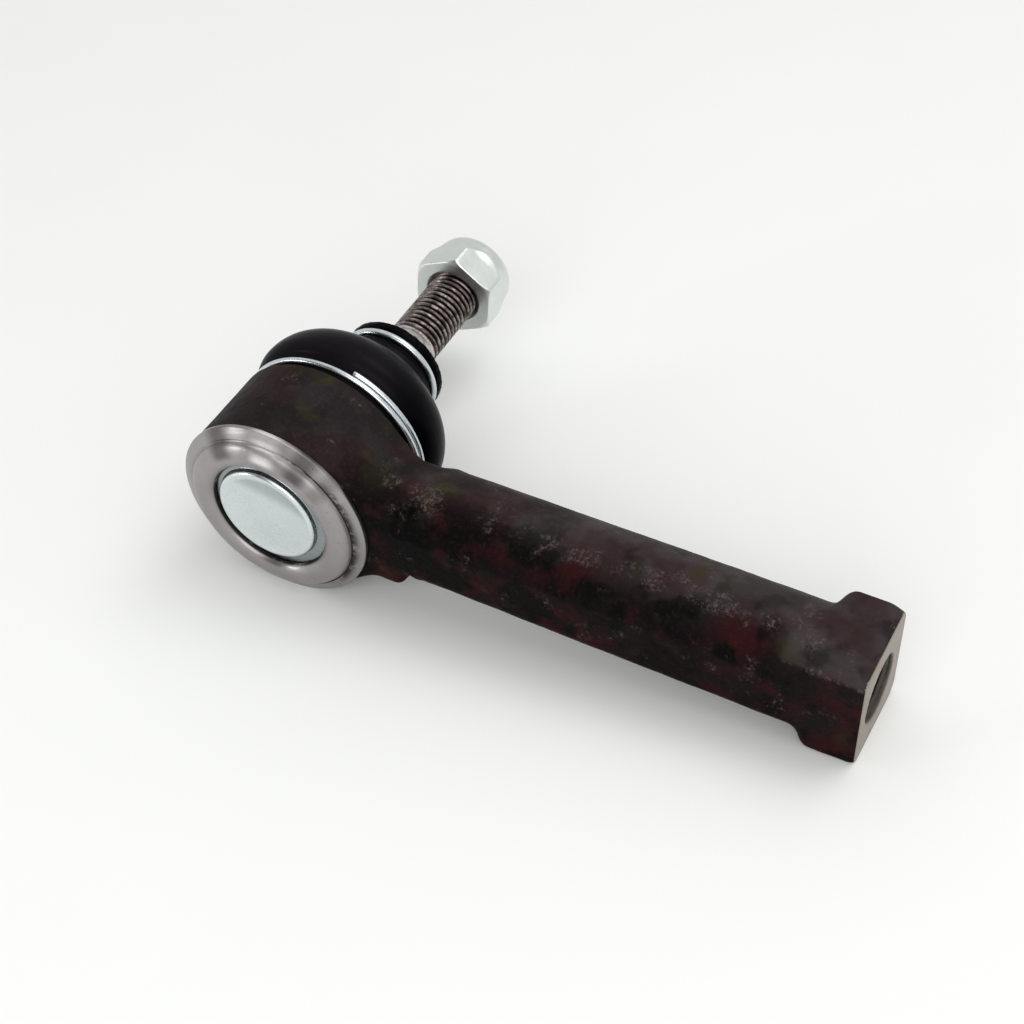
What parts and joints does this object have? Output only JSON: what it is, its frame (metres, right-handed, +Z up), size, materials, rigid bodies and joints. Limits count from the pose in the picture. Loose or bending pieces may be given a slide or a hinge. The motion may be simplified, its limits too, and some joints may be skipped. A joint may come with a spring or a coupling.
{
  "type": "tie rod end",
  "caption": "Ball-jointed tie rod end: forged housing with an internally threaded shank, sealing boot, tapered stud and self-locking nut.",
  "frame": {"origin": "centre of the ball", "axes": "+X along the shank to its threaded end, +Y along the stud to the nut, +Z up when the part lies on its side"},
  "size_m": [0.1526, 0.0922, 0.046],
  "materials": {
    "forging": "forged steel with a dark brown-black oxide scale",
    "zinc_plate": "bright zinc, faintly blue",
    "bare_steel": "turned bare steel",
    "spring_steel": "tempered, dark grey",
    "seat_plastic": "natural acetal with grease on it",
    "boot_rubber": "smooth black, slightly glossy",
    "ring_wire": "zinc-plated wire",
    "nut_zinc": "zinc, faintly green-white",
    "nylon": "natural nylon"
  },
  "bodies": {
    "housing": {"housing": "forging", "closing_plate": "zinc_plate", "preload_spring": "spring_steel", "lower_seat": "seat_plastic", "ball_seat": "seat_plastic", "boot_base_ring": "ring_wire"},
    "boot": {"boot": "boot_rubber"},
    "boot_neck": {"boot_neck_ring": "ring_wire"},
    "stud": {"ball_stud": "bare_steel"},
    "nut_insert": {"lock_nut_insert": "nylon"},
    "nut": {"lock_nut": "nut_zinc"}
  },
  "joints": [
    {"name": "stud_swing", "type": "hinge", "parent": "housing", "child": "boot", "pos_m": [0, 0, 0], "axis": [0, 0, 1], "range_deg": [-18, 18], "deforming": ["boot"]},
    {"name": "stud_rock", "type": "hinge", "parent": "boot", "child": "boot_neck", "pos_m": [0, 0, 0], "axis": [1, 0, 0], "range_deg": [-18, 18]},
    {"name": "stud_spin", "type": "hinge", "parent": "boot_neck", "child": "stud", "pos_m": [0, 0, 0], "axis": [0, 1, 0], "continuous": true},
    {"name": "nut_travel", "type": "slide", "parent": "stud", "child": "nut_insert", "axis": [0, 1, 0], "range_m": [-0.015, 0.006]},
    {"name": "nut_turn", "type": "hinge", "parent": "nut_insert", "child": "nut", "pos_m": [0, 0.0711, 0], "axis": [0, 1, 0], "range_deg": [-3960, 1800]}
  ],
  "couplings": [
    {"joint": "nut_turn", "follows": "nut_travel", "rad_per_m": 4188.8}
  ]
}
